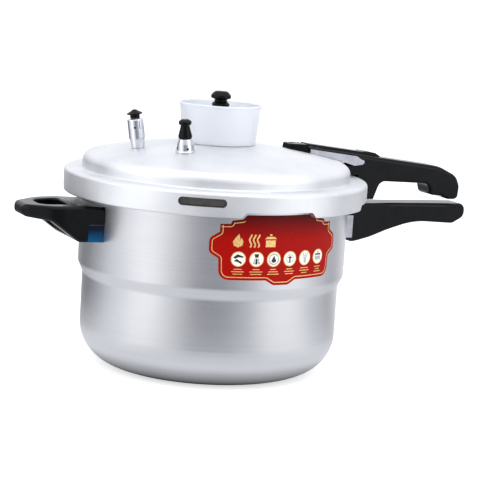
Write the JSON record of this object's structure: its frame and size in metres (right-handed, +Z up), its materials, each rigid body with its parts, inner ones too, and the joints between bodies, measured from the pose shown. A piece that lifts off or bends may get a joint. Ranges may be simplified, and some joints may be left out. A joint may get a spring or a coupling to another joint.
{
  "type": "pressure canner",
  "caption": "Stove-top pressure canner: stepped pot with long and helper handles, domed turn-to-lock lid, weight regulator in a splash cup, spring valves, float valve and jar rack.",
  "frame": {"origin": "centre of the pot's flat base, on its axis and on the surface it stands on", "axes": "+Z up along the pot's axis, +X towards the two long handles, the label and the front valve face -Y"},
  "size_m": [0.4919, 0.3014, 0.2752],
  "materials": {
    "pot_aluminium": "satin spun",
    "lid_aluminium": "satin, bead blasted",
    "rack_aluminium": "mill finish",
    "bracket_steel": "pressed sheet",
    "black_bakelite": "moulded, polished",
    "chrome": "polished chrome plate",
    "zinc_steel": "zinc plated",
    "spring_steel": "drawn wire",
    "silicone": "moulded",
    "label_film": "printed film",
    "blue_film": "clear blue protective film",
    "cup_plastic": "translucent moulded"
  },
  "bodies": {
    "pot": {"pot_body": "pot_aluminium", "front_label": "label_film", "body_handle_bracket": "bracket_steel", "body_bracket_rivets": "zinc_steel", "body_handle": "black_bakelite", "body_handle_screws": "zinc_steel", "lock_striker": "bracket_steel", "helper_handle_bracket": "bracket_steel", "helper_bracket_rivets": "zinc_steel", "helper_bracket_film": "blue_film", "helper_handle": "black_bakelite", "helper_handle_screw": "zinc_steel"},
    "rack": {"canning_rack": "rack_aluminium"},
    "gasket_ring": {"sealing_gasket": "silicone"},
    "lid": {"lid_shell": "lid_aluminium", "lid_handle_bracket": "bracket_steel", "lid_bracket_rivets": "zinc_steel", "lid_handle": "black_bakelite", "lid_handle_screws": "zinc_steel", "float_guard": "black_bakelite", "float_guard_screw": "zinc_steel", "float_bush": "zinc_steel", "vent_pipe": "chrome", "vent_seal": "silicone", "vent_nut": "zinc_steel", "vent_cover": "zinc_steel", "front_valve_body": "chrome", "front_valve_seal": "silicone", "front_valve_nut": "zinc_steel", "front_valve_spring": "spring_steel", "relief_valve_body": "chrome", "relief_valve_seal": "silicone", "relief_valve_nut": "zinc_steel", "relief_valve_spring": "spring_steel"},
    "slider": {"lock_slider": "black_bakelite", "lock_catch": "bracket_steel"},
    "regulator": {"regulator_weight": "chrome", "regulator_knob": "black_bakelite"},
    "cup": {"splash_cup": "cup_plastic"},
    "front_plunger": {"front_valve_plunger": "chrome", "front_valve_knob": "black_bakelite"},
    "relief_plunger": {"relief_valve_plunger": "chrome", "relief_valve_cap": "black_bakelite"},
    "float": {"float_pin": "chrome", "float_seal": "silicone"}
  },
  "joints": [
    {"name": "rack_lift", "type": "slide", "parent": "pot", "child": "rack", "axis": [0, 0, 1], "range_m": [0, 0.12]},
    {"name": "lid_lift", "type": "slide", "parent": "pot", "child": "gasket_ring", "axis": [0, 0, 1], "range_m": [0, 0.15]},
    {"name": "lid_turn", "type": "hinge", "parent": "gasket_ring", "child": "lid", "pos_m": [0, 0, 0.18], "axis": [0, 0, 1], "range_deg": [0, 30]},
    {"name": "slider_slide", "type": "slide", "parent": "lid", "child": "slider", "axis": [0.9926, 0, -0.1218], "range_m": [0, 0.008]},
    {"name": "regulator_lift", "type": "slide", "parent": "lid", "child": "regulator", "axis": [0, 0, 1], "range_m": [0, 0.045]},
    {"name": "cup_lift", "type": "slide", "parent": "lid", "child": "cup", "axis": [0, 0, 1], "range_m": [0, 0.06]},
    {"name": "front_knob_lift", "type": "slide", "parent": "lid", "child": "front_plunger", "axis": [-0.1083, -0.0925, 0.9898], "range_m": [0, 0.003], "stiffness_N_per_m": 1500, "springref_m": -0.003, "deforming": ["front_valve_spring"]},
    {"name": "relief_cap_lift", "type": "slide", "parent": "lid", "child": "relief_plunger", "axis": [-0.1658, 0, 0.9862], "range_m": [0, 0.004], "stiffness_N_per_m": 1500, "springref_m": -0.004, "deforming": ["relief_valve_spring"]},
    {"name": "float_rise", "type": "slide", "parent": "lid", "child": "float", "axis": [0.157, 0, 0.9876], "range_m": [0, 0.0035]}
  ]
}
